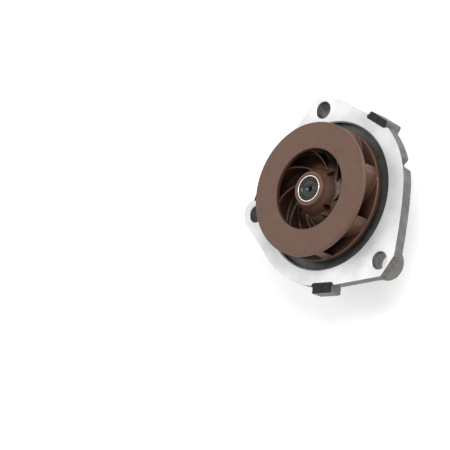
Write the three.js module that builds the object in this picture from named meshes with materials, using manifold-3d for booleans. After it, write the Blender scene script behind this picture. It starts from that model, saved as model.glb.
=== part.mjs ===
// Coolant pump of a belt-driven engine, in millimetres.
// The shaft runs along Z with the impeller up. The origin is on the shaft axis, in the plane of the
// toothed pulley's outer face, which the pump stands on. +Y points to the first bolt hole.

import * as THREE from 'three';
import { mergeVertices } from 'three/addons/utils/BufferGeometryUtils.js';
import Module from 'manifold-3d';

const wasm = await Module();
wasm.setup();

// ---- driving dimensions ----

const GAP = 0.3;                 // clearance left between neighbouring pieces
const ROUND = 44;                // facets around the large turned pieces
const SMALL_ROUND = 24;          // facets around the small ones

const FACE_Z = 33;               // machined mounting face
const PLATE = 6.8;               // flange plate thickness
const RECESS_R = 38.25;          // impeller recess in the mounting face
const RECESS_Z = FACE_Z - 3.5;
const RECESS_CHAMFER = 0.6;

const BOLT_HOLE_R = 4.5;         // clearance holes for M8 bolts
const EARS = [
  { x: 0, y: 46.3, radius: 7.6, depth: 11, shoulder: 2.4 },
  { x: -46.1, y: 1.5, radius: 7.8, depth: 11, shoulder: 2.4 },
  { x: 30.6, y: -41.2, radius: 8.4, depth: 10, shoulder: 3.8 },
];
const SPOT_R = 6.2;              // spot face behind the third ear
const SPOT_DEPTH = 1.2;
const FACET = { x: 35.3, y: -44.95, facing: -45.3, width: 12.6, size: 2.1 };

const LUG_DROP = 0.5;            // fronts of the cast rim lugs lie just below the mounting face
const LUGS = [
  { x: 31.8, y: 30.3, facing: 50.2, length: 13.3, reach: 4.3, depth: 12 },
  { x: -5.2, y: -44.5, facing: 260.8, length: 12.4, reach: 5.5, depth: 8 },
  { x: -41.7, y: 12.3, facing: 150, length: 11, reach: 4.3, depth: 12 },
];

const BACK_Z = 26;               // back of the casting, just clear of the pulley
const NECK_R = 19;               // bearing neck, reaching into the pulley
const NECK_END_Z = 7.5;
const BEARING_R = 15;            // 30 mm shaft bearing
const BEARING_Z = [7.7, 25.2];
const BEARING_WALL_R = 12.8;
const SEAL_BORE_R = 16;
const SEAL_BORE_Z = 26.8;
const WEEP_R = 1.2;              // weep hole from the chamber behind the seal

const SHAFT_R = 8;
const SHAFT_NOSE_R = 6;
const SHAFT_STEP_Z = FACE_Z + 3.8;
const SHAFT_END_Z = FACE_Z + 14.2;

const FRONT_Z = FACE_Z + 14.5;   // impeller's front face
const IMPELLER_R = 34.5;
const BACKPLATE = 3;
const EYE_R = 20.75;
const SHROUD = 2.3;
const BLADES = 8;
const BLADE_END_ANGLE = 5;       // where the first blade meets the rim
const BLADE_SLOPE = 28.5;        // blade angle from the tangent, outside the eye
const BLADE_EYE_SLOPE = 44;      // and inside it
const BLADE_THICK = 2.2;         // at the rim
const BLADE_THIN = 0.7;          // from the eye's edge inwards
const HUB_R = 9;
const HUB_SKIRT_R = 12.4;        // where the hub meets the bladed disc
const SEAL_POCKET_R = 13.6;
const INSERT_R = 6.9;
const POCKETS = 4;               // blind pockets in the hub cone
const POCKET_ANGLE = 33;

const TEETH = 18;                // toothed pulley, 9.525 mm pitch
const PULLEY_R = 26.6;
const PULLEY_WIDTH = 25.2;
const TOOTH_DEPTH = 3.3;
const CUP_R = 21.2;
const WEB = 4.5;
const PULLEY_HUB_R = 11.6;
const PULLEY_HUB = 7;

const PITCH_R = 10.4;            // two rows of balls
const BALL_R = 2.6;
const FRONT_ROW_Z = 20.4;
const REAR_ROW_Z = 12.5;
const BALLS = 8;

const rad = THREE.MathUtils.degToRad;

// ---- solids ----

function toSolid(geometry) {
  const bare = geometry.index ? geometry.toNonIndexed() : geometry.clone();
  bare.deleteAttribute('normal');
  bare.deleteAttribute('uv');
  const merged = mergeVertices(bare, 1e-4);
  const triVerts = [];
  const ids = merged.index.array;
  for (let i = 0; i < ids.length; i += 3) {
    const [a, b, c] = [ids[i], ids[i + 1], ids[i + 2]];
    if (a !== b && b !== c && a !== c) triVerts.push(a, b, c);
  }
  const vertProperties = new Float32Array(merged.attributes.position.array);
  const mesh = new wasm.Mesh({ numProp: 3, vertProperties, triVerts: new Uint32Array(triVerts) });
  return new wasm.Manifold(mesh);
}

function toGeometry(solid) {
  const mesh = solid.getMesh();
  const geometry = new THREE.BufferGeometry();
  geometry.setAttribute('position', new THREE.BufferAttribute(new Float32Array(mesh.vertProperties), 3));
  geometry.setIndex(new THREE.BufferAttribute(new Uint32Array(mesh.triVerts), 1));
  geometry.computeVertexNormals();
  return geometry;
}

// A turned solid from [radius, z] points.
function turned(points, facets = ROUND) {
  const profile = points.map(([r, z]) => new THREE.Vector2(r, z));
  const geometry = new THREE.LatheGeometry(profile, facets);
  geometry.rotateX(Math.PI / 2);
  const solid = toSolid(geometry);
  if (solid.volume() > 0) return solid;
  const flipped = geometry.toNonIndexed();
  const xyz = flipped.attributes.position;
  for (let i = 0; i < xyz.count; i += 3) {
    const [x, y, z] = [xyz.getX(i), xyz.getY(i), xyz.getZ(i)];
    xyz.setXYZ(i, xyz.getX(i + 1), xyz.getY(i + 1), xyz.getZ(i + 1));
    xyz.setXYZ(i + 1, x, y, z);
  }
  return toSolid(flipped);
}

// A turned ring, closed on itself.
function ring(points, facets = ROUND) {
  return turned([...points, points[0]], facets);
}

// A plain tube between two radii and two heights.
function tube(inner, outer, low, high, facets = ROUND) {
  return ring([[inner, low], [outer, low], [outer, high], [inner, high]], facets);
}

function disc(radius, low, high, facets = ROUND) {
  return turned([[0, low], [radius, low], [radius, high], [0, high]], facets);
}

function post(x, y, radius, low, high, facets = 20) {
  return disc(radius, low, high, facets).translate([x, y, 0]);
}

function prism(shape, low, high, curveSegments = 12) {
  const options = { depth: high - low, bevelEnabled: false, curveSegments };
  const geometry = new THREE.ExtrudeGeometry(shape, options);
  geometry.translate(0, 0, low);
  return toSolid(geometry);
}

function outline(points) {
  return new THREE.Shape(points.map(([x, y]) => new THREE.Vector2(x, y)));
}

// A box in the XY plane of a rim feature: u along the outward direction, v across it.
function rimBox(x, y, facing, u, v, z) {
  const box = new THREE.BoxGeometry(u[1] - u[0], v[1] - v[0], z[1] - z[0]);
  box.translate((u[0] + u[1]) / 2, (v[0] + v[1]) / 2, (z[0] + z[1]) / 2);
  box.rotateZ(rad(facing));
  box.translate(x, y, 0);
  return toSolid(box);
}

function arcPoints(cx, cy, radius, from, to, steps) {
  const points = [];
  for (let i = 0; i <= steps; i++) {
    const angle = rad(from + (to - from) * i / steps);
    points.push([cx + radius * Math.cos(angle), cy + radius * Math.sin(angle)]);
  }
  return points;
}

// ---- housing ----

// The mounting face: three ears joined by arcs around the recess, with a step at each lug.
function flangeShape() {
  const shape = new THREE.Shape();
  shape.moveTo(4.6, 53.1);
  shape.lineTo(28.4, 35.7);
  shape.lineTo(28.4, 33.2);
  shape.lineTo(37.0, 26.0);
  shape.absarc(1, -0.5, 46.8, rad(34.2), rad(-4), true);
  shape.quadraticCurveTo(46.3, -18, 39.8, -40.5);
  shape.lineTo(30.8, -49.4);
  shape.lineTo(2.2, -47.5);
  shape.lineTo(1.6, -45.6);
  shape.lineTo(-9.4, -43.8);
  shape.absarc(0, 0, 46.4, rad(257.4), rad(205), true);
  shape.lineTo(-54.2, -1.2);
  shape.lineTo(-54.2, 5.2);
  shape.lineTo(-50.3, 9.4);
  shape.lineTo(-45.6, 8.6);
  shape.lineTo(-44.4, 7.6);
  shape.lineTo(-39, 17);
  shape.absarc(0, 0, 45.3, rad(155.6), rad(112), true);
  shape.lineTo(-4.6, 53.1);
  return shape;
}

// The cast body behind the face: a shallow bowl behind the recess and the bearing neck.
function castingBack() {
  return turned([
    [0, NECK_END_Z],
    [NECK_R - 0.8, NECK_END_Z],
    [NECK_R, NECK_END_Z + 0.8],
    [NECK_R, BACK_Z - 1.2],
    [NECK_R + 0.9, BACK_Z],
    [40.4, BACK_Z],
    [41.2, BACK_Z + 1],
    [0, BACK_Z + 1],
  ], 36);
}

function lug({ x, y, facing, length, reach, depth }) {
  const half = length / 2;
  const top = FACE_Z - LUG_DROP;
  const low = top - depth;
  const block = rimBox(x, y, facing, [-2.4, reach], [-half, half], [low, top]);
  const rib = rimBox(x, y, facing, [-0.5, reach - 0.4], [-0.35, 0.35], [top - 0.5, top + 0.35]);
  return block.add(rib);
}

// The lug's front lies below the mounting face, so the face is cut back over it.
function lugStep({ x, y, facing, length, reach }) {
  const half = length / 2;
  return rimBox(x, y, facing, [0, reach + 3], [-half, half], [FACE_Z - LUG_DROP, FACE_Z + 1]);
}

function earBoss({ x, y, radius, depth, shoulder }) {
  const low = FACE_Z - depth;
  const high = FACE_Z - shoulder;
  return turned([
    [0, low],
    [radius - 0.6, low],
    [radius, low + 0.6],
    [radius, high],
    [radius - 2.2, high + 2],
    [0, high + 2],
  ], 24).translate([x, y, 0]);
}

// An upright slab: a [distance from the axis, height] outline, given a width and turned about Z.
function slab(points, width, angle) {
  const geometry = new THREE.ExtrudeGeometry(outline(points), { depth: width, bevelEnabled: false });
  geometry.translate(0, 0, -width / 2);
  geometry.rotateX(Math.PI / 2);
  geometry.rotateZ(rad(angle));
  return toSolid(geometry);
}

// Low stiffening ribs on the back, beyond the belt.
function backRib(angle) {
  const foot = BACK_Z + 1;
  return slab([[30, foot], [30, BACK_Z - 0.6], [32, BACK_Z - 3], [40, BACK_Z - 2], [43, foot]], 3, angle);
}

// The slanted facet between the mounting face and the boss of the third ear.
function earFacet() {
  const { x, y, facing, width, size } = FACET;
  const low = FACE_Z - PLATE + 0.4;
  const edge = [[-1, low], [size, low], [size, FACE_Z - size], [0, FACE_Z], [-1, FACE_Z]];
  return slab(edge, width, facing).translate([x, y, 0]);
}

// A V-shaped nick in the rim wall, open to the back and closed by a thin lip at the face.
function rimNotch() {
  return prism(outline([[43.4, 6.2], [50, 0.2], [50, 10.2]]), BACK_Z - 3, FACE_Z - 0.7);
}

function weepHole() {
  const hole = new THREE.CylinderGeometry(WEEP_R, WEEP_R, 12, 12);
  hole.rotateX(rad(-60));
  hole.translate(0, -16.6, BEARING_Z[1] - 1);
  return toSolid(hole);
}

function housingBore() {
  const clear = BEARING_R + GAP;
  return turned([
    [0, NECK_END_Z - 2],
    [clear + 0.8, NECK_END_Z - 2],
    [clear + 0.8, NECK_END_Z],
    [clear, NECK_END_Z + 0.8],
    [clear, BEARING_Z[1] + GAP],
    [13.6, BEARING_Z[1] + GAP],
    [13.6, SEAL_BORE_Z],
    [SEAL_BORE_R, SEAL_BORE_Z],
    [SEAL_BORE_R, RECESS_Z],
    [RECESS_R, RECESS_Z],
    [RECESS_R, FACE_Z - RECESS_CHAMFER],
    [RECESS_R + RECESS_CHAMFER + 0.2, FACE_Z + 0.2],
    [0, FACE_Z + 0.2],
  ]);
}

function housing() {
  let solid = prism(flangeShape(), FACE_Z - PLATE, FACE_Z, 6);
  for (const place of LUGS) solid = solid.subtract(lugStep(place));
  solid = solid.add(castingBack());
  for (const ear of EARS) solid = solid.add(earBoss(ear));
  for (const place of LUGS) solid = solid.add(lug(place));
  solid = solid.add(earFacet());
  for (const angle of [20, 62, 118, 205, 235, 332]) solid = solid.add(backRib(angle));
  solid = solid.subtract(housingBore());
  solid = solid.subtract(rimNotch());
  solid = solid.subtract(weepHole());
  for (const { x, y, depth } of EARS) {
    solid = solid.subtract(post(x, y, BOLT_HOLE_R, FACE_Z - depth - 4, FACE_Z + 1));
  }
  const { x, y, depth } = EARS[2];
  solid = solid.subtract(post(x, y, SPOT_R, FACE_Z - depth - 1, FACE_Z - depth + SPOT_DEPTH));
  return solid;
}

// ---- shaft bearing ----

// A groove for one row of balls, from one shoulder to the other.
function raceway(rowZ, from, to) {
  return arcPoints(PITCH_R, rowZ, BALL_R + 0.25, from, to, 4);
}

function bearingOuterRing() {
  const [low, high] = BEARING_Z;
  return ring([
    [BEARING_R - 0.5, low],
    [BEARING_R, low + 0.5],
    [BEARING_R, high - 0.5],
    [BEARING_R - 0.5, high],
    [BEARING_WALL_R, high],
    ...raceway(FRONT_ROW_Z, 32.6, -32.6),
    ...raceway(REAR_ROW_Z, 32.6, -32.6),
    [BEARING_WALL_R, low],
  ], SMALL_ROUND);
}

function bearingSeal(low, high) {
  const middle = (low + high) / 2;
  return ring([
    [BEARING_WALL_R - GAP, low],
    [BEARING_WALL_R - GAP, high],
    [SHAFT_R + 1.2, high],
    [SHAFT_R + GAP, middle],
    [SHAFT_R + 1.2, low],
  ], SMALL_ROUND);
}

function ball() {
  return toSolid(new THREE.SphereGeometry(BALL_R, 10, 6));
}

// A snap-in crown: each ball sits in a pocket that is open on one side.
function ballCage(rowZ, openSide) {
  const ends = [rowZ - 3.2 * openSide, rowZ + 1.4 * openSide];
  let solid = tube(9.3, 11.5, Math.min(...ends), Math.max(...ends), SMALL_ROUND);
  for (let i = 0; i < BALLS; i++) {
    const angle = rad(i * 360 / BALLS);
    const pocket = toSolid(new THREE.SphereGeometry(BALL_R + 0.35, 10, 6));
    solid = solid.subtract(pocket.translate([PITCH_R * Math.cos(angle), PITCH_R * Math.sin(angle), rowZ]));
  }
  return solid;
}

// ---- shaft seal ----

function sealCup() {
  const wall = SEAL_BORE_R - GAP;
  const low = SEAL_BORE_Z + 0.2;
  const lip = RECESS_Z + GAP;
  return ring([
    [10.5, low],
    [wall - 0.6, low],
    [wall, low + 0.6],
    [wall, lip],
    [18.6, lip],
    [18.6, lip + 0.8],
    [wall - 0.9, lip + 0.8],
    [wall - 0.9, low + 0.8],
    [10.5, low + 0.8],
  ], 36);
}

function sealBellows() {
  const low = SEAL_BORE_Z + 1.3;
  return ring([
    [9.6, low],
    [12.6, low],
    [12.6, low + 0.6],
    [11.4, low + 1],
    [12.4, low + 1.5],
    [12.4, low + 1.9],
    [9.6, low + 1.9],
  ], SMALL_ROUND);
}

class SpringCurve extends THREE.Curve {
  getPoint(t) {
    const turn = 1.45 * 2 * Math.PI * t;
    return new THREE.Vector3(13.7 * Math.cos(turn), 13.7 * Math.sin(turn), SEAL_BORE_Z + 1.6 + 1.5 * t);
  }
}

function sealSpring() {
  const wire = new THREE.Shape();
  wire.absarc(0, 0, 0.4, 0, 2 * Math.PI);
  const options = { steps: 36, curveSegments: 3, bevelEnabled: false, extrudePath: new SpringCurve() };
  return toSolid(new THREE.ExtrudeGeometry(wire, options));
}

function sealCarbonRing() {
  const low = SEAL_BORE_Z + 3.4;
  return ring([
    [9.4, low],
    [12.8, low],
    [12.8, low + 0.9],
    [12, low + 0.9],
    [12, low + 1.8],
    [10, low + 1.8],
    [10, low + 1.2],
    [9.4, low + 1.2],
  ], SMALL_ROUND);
}

function sealMatingRing() {
  return tube(SHAFT_R + GAP, 12.3, FACE_Z - 0.4, FACE_Z + 2.2, SMALL_ROUND);
}

function sealRingBoot() {
  return ring([
    [12.6, FACE_Z - 0.2],
    [13.3, FACE_Z - 0.2],
    [13.3, FACE_Z + 3.2],
    [SHAFT_R + GAP, FACE_Z + 3.2],
    [SHAFT_R + GAP, FACE_Z + 2.5],
    [12.6, FACE_Z + 2.5],
  ], SMALL_ROUND);
}

// ---- rotor ----

function shaft() {
  return turned([
    [0, 0],
    [SHAFT_R - 0.6, 0],
    [SHAFT_R, 0.6],
    ...raceway(REAR_ROW_Z, 212.6, 147.4),
    ...raceway(FRONT_ROW_Z, 212.6, 147.4),
    [SHAFT_R, SHAFT_STEP_Z - 0.8],
    [SHAFT_R - 0.8, SHAFT_STEP_Z],
    [SHAFT_NOSE_R, SHAFT_STEP_Z],
    [SHAFT_NOSE_R, SHAFT_END_Z - 0.6],
    [SHAFT_NOSE_R - 0.6, SHAFT_END_Z],
    [1.6, SHAFT_END_Z],
    [1.1, SHAFT_END_Z - 0.5],
    [0.5, SHAFT_END_Z - 2.2],
    [0, SHAFT_END_Z - 2.2],
  ], SMALL_ROUND);
}

function slinger() {
  const low = BEARING_Z[1] + 0.4;
  return ring([
    [SHAFT_R + GAP, low],
    [10.4, low],
    [12.2, low + 0.4],
    [12.2, low + 0.9],
    [10.2, low + 0.6],
    [SHAFT_R + GAP, low + 0.8],
  ], SMALL_ROUND);
}

// The disc behind the blades, with the seal ring's pocket in its back.
function impellerDisc() {
  const back = FACE_Z;
  const inner = HUB_SKIRT_R + GAP;
  return ring([
    [inner, back + 4.1],
    [SEAL_POCKET_R, back + 4.1],
    [SEAL_POCKET_R, back + 0.4],
    [SEAL_POCKET_R + 0.6, back],
    [IMPELLER_R - 0.3, back],
    [IMPELLER_R, back + 0.3],
    [IMPELLER_R, back + BACKPLATE - 0.3],
    [IMPELLER_R - 0.3, back + BACKPLATE],
    [20, back + BACKPLATE + 0.2],
    [15.8, back + BACKPLATE + 1.8],
    [inner, back + 7.7],
  ]);
}

// Blade angle at a radius: it steepens where the blade passes under the eye's edge.
function bladeSlope(r) {
  const share = THREE.MathUtils.clamp((21.5 - r) / 2.5, 0, 1);
  return rad(THREE.MathUtils.lerp(BLADE_SLOPE, BLADE_EYE_SLOPE, share));
}

// A blade in plan is a spiral, followed inwards from the rim.
function bladeOutline() {
  const from = IMPELLER_R - 0.15;
  const to = HUB_SKIRT_R + 0.4;
  const steps = 9;
  const left = [];
  const right = [];
  let turn = rad(BLADE_END_ANGLE);
  for (let i = 0; i <= steps; i++) {
    const r = from + (to - from) * i / steps;
    const half = THREE.MathUtils.lerp(BLADE_THICK, BLADE_THIN, Math.min(1, 1.5 * i / steps)) / 2;
    const across = half / Math.sin(bladeSlope(r)) / r;
    left.push([r * Math.cos(turn + across), r * Math.sin(turn + across)]);
    right.push([r * Math.cos(turn - across), r * Math.sin(turn - across)]);
    const next = r + (to - from) / steps;
    turn -= Math.log(r / next) / Math.tan(bladeSlope((r + next) / 2));
  }
  return outline([...right, ...left.reverse()]);
}

// The space the blades fill: under the shroud outside the eye, sloping down to the hub within it.
function bladeEnvelope() {
  const top = FRONT_Z - SHROUD - GAP;
  const inner = HUB_SKIRT_R + GAP + 0.1;
  return ring([
    [inner, FACE_Z + 5.4],
    [16, FACE_Z + 1.4],
    [IMPELLER_R - 0.1, FACE_Z + 1.4],
    [IMPELLER_R - 0.1, top],
    [24, top],
    [20.4, top - 1.1],
    [13.6, FACE_Z + 8.2],
    [inner, FACE_Z + 7.8],
  ]);
}

// Blind pockets moulded where the hub meets the disc.
function cutPockets(solid) {
  let cut = solid;
  for (let i = 0; i < POCKETS; i++) {
    const angle = rad(POCKET_ANGLE + i * 360 / POCKETS);
    const [x, y] = [12.2 * Math.cos(angle), 12.2 * Math.sin(angle)];
    cut = cut.subtract(post(x, y, 1.5, FACE_Z + 6, FRONT_Z, 12));
  }
  return cut;
}

function impeller() {
  const blade = prism(bladeOutline(), FACE_Z + 1, FRONT_Z);
  let blades = blade;
  for (let i = 1; i < BLADES; i++) blades = blades.add(blade.rotate([0, 0, i * 360 / BLADES]));
  return cutPockets(impellerDisc().add(blades.intersect(bladeEnvelope())));
}

function impellerHub() {
  const low = FACE_Z + 4.1;
  return cutPockets(ring([
    [INSERT_R + 0.2, low],
    [HUB_SKIRT_R, low],
    [HUB_SKIRT_R, FACE_Z + 8],
    [12, FACE_Z + 8.4],
    [10, FACE_Z + 12],
    [HUB_R - 0.4, FRONT_Z],
    [INSERT_R + 0.2, FRONT_Z],
  ]));
}

function impellerShroud() {
  const under = FRONT_Z - SHROUD;
  return ring([
    [EYE_R, FRONT_Z],
    [EYE_R, FRONT_Z - 2.4],
    [EYE_R + 1.3, FRONT_Z - 3.2],
    [EYE_R + 2.6, under],
    [IMPELLER_R - 0.4, under],
    [IMPELLER_R, under + 0.5],
    [IMPELLER_R, FRONT_Z - 0.7],
    [IMPELLER_R - 0.7, FRONT_Z],
  ]);
}

function impellerInsert() {
  return ring([
    [SHAFT_NOSE_R + 0.2, FACE_Z + 4.3],
    [INSERT_R, FACE_Z + 4.3],
    [INSERT_R, FRONT_Z - 0.2],
    [INSERT_R - 0.2, FRONT_Z],
    [SHAFT_NOSE_R + 0.4, FRONT_Z],
    [SHAFT_NOSE_R + 0.2, FRONT_Z - 0.2],
  ], SMALL_ROUND);
}

// Round-bottomed tooth spaces, opened by flanks that lean outwards.
function toothedOutline() {
  const points = [];
  const step = 360 / TEETH;
  const root = PULLEY_R - TOOTH_DEPTH;
  for (let i = 0; i < TEETH; i++) {
    const places = [[-5.6, PULLEY_R - 0.5], [-4, root + 0.7], [-2.4, root]];
    const space = [...places, ...places.map(([turn, r]) => [-turn, r]).reverse()];
    for (const [turn, r] of space) {
      const angle = rad((i + 0.5) * step + turn);
      points.push([r * Math.cos(angle), r * Math.sin(angle)]);
    }
    for (const turn of [-3.7, 3.7]) {
      const angle = rad((i + 1) * step + turn);
      points.push([PULLEY_R * Math.cos(angle), PULLEY_R * Math.sin(angle)]);
    }
  }
  return outline(points);
}

function pulley() {
  let solid = prism(toothedOutline(), 0, PULLEY_WIDTH);
  solid = solid.subtract(turned([
    [0, WEB],
    [CUP_R - 1, WEB],
    [CUP_R, WEB + 1],
    [CUP_R, PULLEY_WIDTH - 0.6],
    [CUP_R + 0.8, PULLEY_WIDTH + 0.2],
    [0, PULLEY_WIDTH + 0.2],
  ]));
  solid = solid.add(turned([
    [0, WEB - 1],
    [PULLEY_HUB_R + 1, WEB - 1],
    [PULLEY_HUB_R, WEB + 1],
    [PULLEY_HUB_R, PULLEY_HUB - 0.6],
    [PULLEY_HUB_R - 0.6, PULLEY_HUB],
    [0, PULLEY_HUB],
  ]));
  solid = solid.subtract(disc(SHAFT_R + 0.2, -1, PULLEY_HUB + 1));
  for (let i = 0; i < 3; i++) {
    const angle = rad(90 + i * 120);
    solid = solid.subtract(post(16.2 * Math.cos(angle), 16.2 * Math.sin(angle), 2.8, -1, WEB + 2, 20));
  }
  return solid;
}

// ---- materials and assembly ----

const MATERIALS = {
  aluminium: { color: 0xb4b6b6, roughness: 0.5, metalness: 0.9 },
  plastic: { color: 0x765d51, roughness: 0.55, metalness: 0 },
  sintered: { color: 0x77787a, roughness: 0.6, metalness: 0.8 },
  steel: { color: 0xb9bcbf, roughness: 0.3, metalness: 1 },
  stainless: { color: 0xc9cac8, roughness: 0.28, metalness: 1 },
  brass: { color: 0xc8b89a, roughness: 0.3, metalness: 1 },
  rubber: { color: 0x1c1c1d, roughness: 0.85, metalness: 0 },
  carbon: { color: 0x2b2c2e, roughness: 0.5, metalness: 0.1 },
  ceramic: { color: 0xd9d5ca, roughness: 0.35, metalness: 0 },
  nylon: { color: 0x4c5a44, roughness: 0.6, metalness: 0 },
};

function piece(name, solid, materialName) {
  const material = new THREE.MeshStandardMaterial({ ...MATERIALS[materialName], flatShading: true });
  const mesh = new THREE.Mesh(toGeometry(solid), material);
  mesh.name = name;
  return mesh;
}

function fixedGroup() {
  const part = new THREE.Group();
  part.add(piece('pump_housing', housing(), 'aluminium'));
  part.add(piece('bearing_outer_ring', bearingOuterRing(), 'steel'));
  part.add(piece('bearing_seal_front', bearingSeal(23.9, 24.9), 'rubber'));
  part.add(piece('bearing_seal_rear', bearingSeal(8, 9), 'rubber'));
  part.add(piece('seal_cup', sealCup(), 'stainless'));
  part.add(piece('seal_bellows', sealBellows(), 'rubber'));
  part.add(piece('seal_spring', sealSpring(), 'stainless'));
  part.add(piece('seal_carbon_ring', sealCarbonRing(), 'carbon'));
  return part;
}

function rotorGroup() {
  const part = new THREE.Group();
  part.add(piece('pump_shaft', shaft(), 'steel'));
  part.add(piece('water_slinger', slinger(), 'nylon'));
  part.add(piece('seal_mating_ring', sealMatingRing(), 'ceramic'));
  part.add(piece('seal_ring_boot', sealRingBoot(), 'rubber'));
  part.add(piece('impeller', impeller(), 'plastic'));
  part.add(piece('impeller_hub', impellerHub(), 'plastic'));
  part.add(piece('impeller_shroud', impellerShroud(), 'plastic'));
  part.add(piece('impeller_insert', impellerInsert(), 'brass'));
  part.add(piece('toothed_pulley', pulley(), 'sintered'));
  return part;
}

function ballRow(side, rowZ, openSide) {
  const part = new THREE.Group();
  part.add(piece(`ball_cage_${side}`, ballCage(rowZ, openSide), 'nylon'));
  for (let i = 0; i < BALLS; i++) {
    const angle = rad(i * 360 / BALLS);
    const mesh = piece(`ball_${side}_${i + 1}`, ball(), 'steel');
    mesh.position.set(PITCH_R * Math.cos(angle), PITCH_R * Math.sin(angle), rowZ);
    part.add(mesh);
  }
  return part;
}

const group = new THREE.Group();
group.add(fixedGroup(), rotorGroup());
group.add(ballRow('front', FRONT_ROW_Z, -1), ballRow('rear', REAR_ROW_Z, 1));

export default group;
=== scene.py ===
"""Looks of the coolant pump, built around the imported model.

Shapes are in millimetres until mesh_object() turns them into metres. The shaft runs along Z with the
impeller up, and the pulley's outer face is at z = 0."""

import math
from typing import NamedTuple

import bmesh
import bpy
from mathutils import Matrix, Vector


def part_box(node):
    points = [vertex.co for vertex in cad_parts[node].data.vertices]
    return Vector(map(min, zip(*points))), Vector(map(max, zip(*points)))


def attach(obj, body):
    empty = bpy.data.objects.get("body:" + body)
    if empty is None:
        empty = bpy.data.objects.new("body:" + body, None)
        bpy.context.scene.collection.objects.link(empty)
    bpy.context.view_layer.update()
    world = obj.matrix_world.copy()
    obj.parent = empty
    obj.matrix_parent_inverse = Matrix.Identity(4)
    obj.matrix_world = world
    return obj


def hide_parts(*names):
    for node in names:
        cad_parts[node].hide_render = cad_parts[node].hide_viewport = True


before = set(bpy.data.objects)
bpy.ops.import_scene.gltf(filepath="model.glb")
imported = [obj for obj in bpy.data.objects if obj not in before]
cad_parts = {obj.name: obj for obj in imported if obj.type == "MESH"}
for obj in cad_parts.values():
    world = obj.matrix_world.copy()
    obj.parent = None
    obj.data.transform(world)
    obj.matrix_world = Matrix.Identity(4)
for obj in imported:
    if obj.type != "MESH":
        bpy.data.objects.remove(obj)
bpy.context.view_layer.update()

MM = 0.001


def mm_box(node):
    low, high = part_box(node)
    return low / MM, high / MM


class Ear(NamedTuple):
    """A bolt ear: its centre, and its boss's radius, depth and shoulder below the mounting face."""
    x: float
    y: float
    radius: float
    depth: float
    shoulder: float


class Lug(NamedTuple):
    """A cast lug on the rim: its place, the way it faces in degrees, and its size."""
    x: float
    y: float
    facing: float
    length: float
    reach: float
    depth: float


class Facet(NamedTuple):
    """A slanted strip on the rim: its place, the way it faces in degrees, and its size."""
    x: float
    y: float
    facing: float
    width: float
    size: float


GAP = 0.3                                        # between neighbouring pieces

FACE_Z = 33.0                                    # machined mounting face
PLATE = 6.8                                      # flange plate
RECESS_R = 38.25
RECESS_Z = FACE_Z - 3.5
RECESS_CHAMFER = 0.6
BOLT_HOLE_R = 4.5
EARS = [
    Ear(0, 46.3, 7.6, 11, 2.4),
    Ear(-46.1, 1.5, 7.8, 11, 2.4),
    Ear(30.6, -41.2, 8.4, 10, 3.8),
]
SPOT_R = 6.2                                     # spot face behind the third ear
SPOT_DEPTH = 1.2
FACET = Facet(35.3, -44.95, -45.3, 12.6, 2.1)
LUGS = [
    Lug(31.8, 30.3, 50.2, 13.3, 4.3, 12),
    Lug(-5.2, -44.5, 260.8, 12.4, 5.5, 8),
    Lug(-41.7, 12.3, 150, 11, 4.3, 12),
]
LUG_TOP = FACE_Z - 0.5
RIB_TURNS = (20, 62, 118, 205, 235, 332)         # ribs on the back
BACK_Z = 26                                      # back of the casting
NECK_R = 19                                      # bearing neck
NECK_END_Z = 7.5
WEEP_R = 1.2                                     # weep hole

BEARING_R = 15
BEARING_WALL_R = 12.8
BEARING_BOTTOM = 7.7
BEARING_TOP = 25.2
PITCH_R = 10.4                                   # circle of the ball centres
BALL_R = 2.6
BALLS = 8
ROWS = {"front": (20.4, -1), "rear": (12.5, 1)}  # height, and the open side of the cage

SEAL_BORE_R = 16
SEAL_BORE_Z = 26.8
SEAL_STOP_R = 13.6                               # bore between the bearing and the seal
SPRING_R = 13.7
SPRING_WIRE_R = 0.38
SPRING_TURNS = 1.45
SPRING_RISE = 1.5

SHAFT_R = 8
NOSE_R = 6
STEP_Z = FACE_Z + 3.8
NOSE_END_Z = FACE_Z + 14.2

RIM_Z = mm_box("impeller_shroud")[1].z           # front of the impeller
IMPELLER_R = 34.5
BACKPLATE = 3
SHROUD = 2.3
EYE_R = 20.75
INSERT_R = 6.9
SEAL_POCKET_R = 13.6
BLADES = 8
BLADE_END_TURN = 5                               # where the first blade meets the rim
BLADE_SLOPE = 28.5                               # blade angle from the tangent, outside the eye
BLADE_EYE_SLOPE = 44
BLADE_THICK = 2.2                                # at the rim
BLADE_THIN = 0.7                                 # inside the eye
POCKETS = 4                                      # blind pockets round the hub
POCKET_TURN = 33
POCKET_RING_R = 12.2
POCKET_R = 1.5

TEETH = 18
TOOTH_DEPTH = 3.3
PULLEY_R = 26.6
PULLEY_WIDTH = 25.2
WEB = 4.5
CUP_R = 21.2
PULLEY_HUB_R = 11.6
PULLEY_HUB = 7
WEB_HOLES = 3
WEB_HOLE_RING_R = 16.2
WEB_HOLE_R = 2.8

RING_START = 0.37                                # turned rings start this part of a step past X


# ---- mesh tools ----

def mesh_object(name, verts, faces):
    mesh = bpy.data.meshes.new(name)
    mesh.from_pydata([(x * MM, y * MM, z * MM) for x, y, z in verts], [], faces)
    bm = bmesh.new()
    bm.from_mesh(mesh)
    bmesh.ops.remove_doubles(bm, verts=bm.verts, dist=1e-7)
    bmesh.ops.recalc_face_normals(bm, faces=bm.faces)
    bm.to_mesh(mesh)
    bm.free()
    obj = bpy.data.objects.new(name, mesh)
    bpy.context.scene.collection.objects.link(obj)
    return obj


def arc(cx, cy, radius, start, end, steps=24):
    points = []
    for i in range(steps + 1):
        angle = math.radians(start + (end - start) * i / steps)
        points.append((cx + radius * math.cos(angle), cy + radius * math.sin(angle)))
    return points


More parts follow.
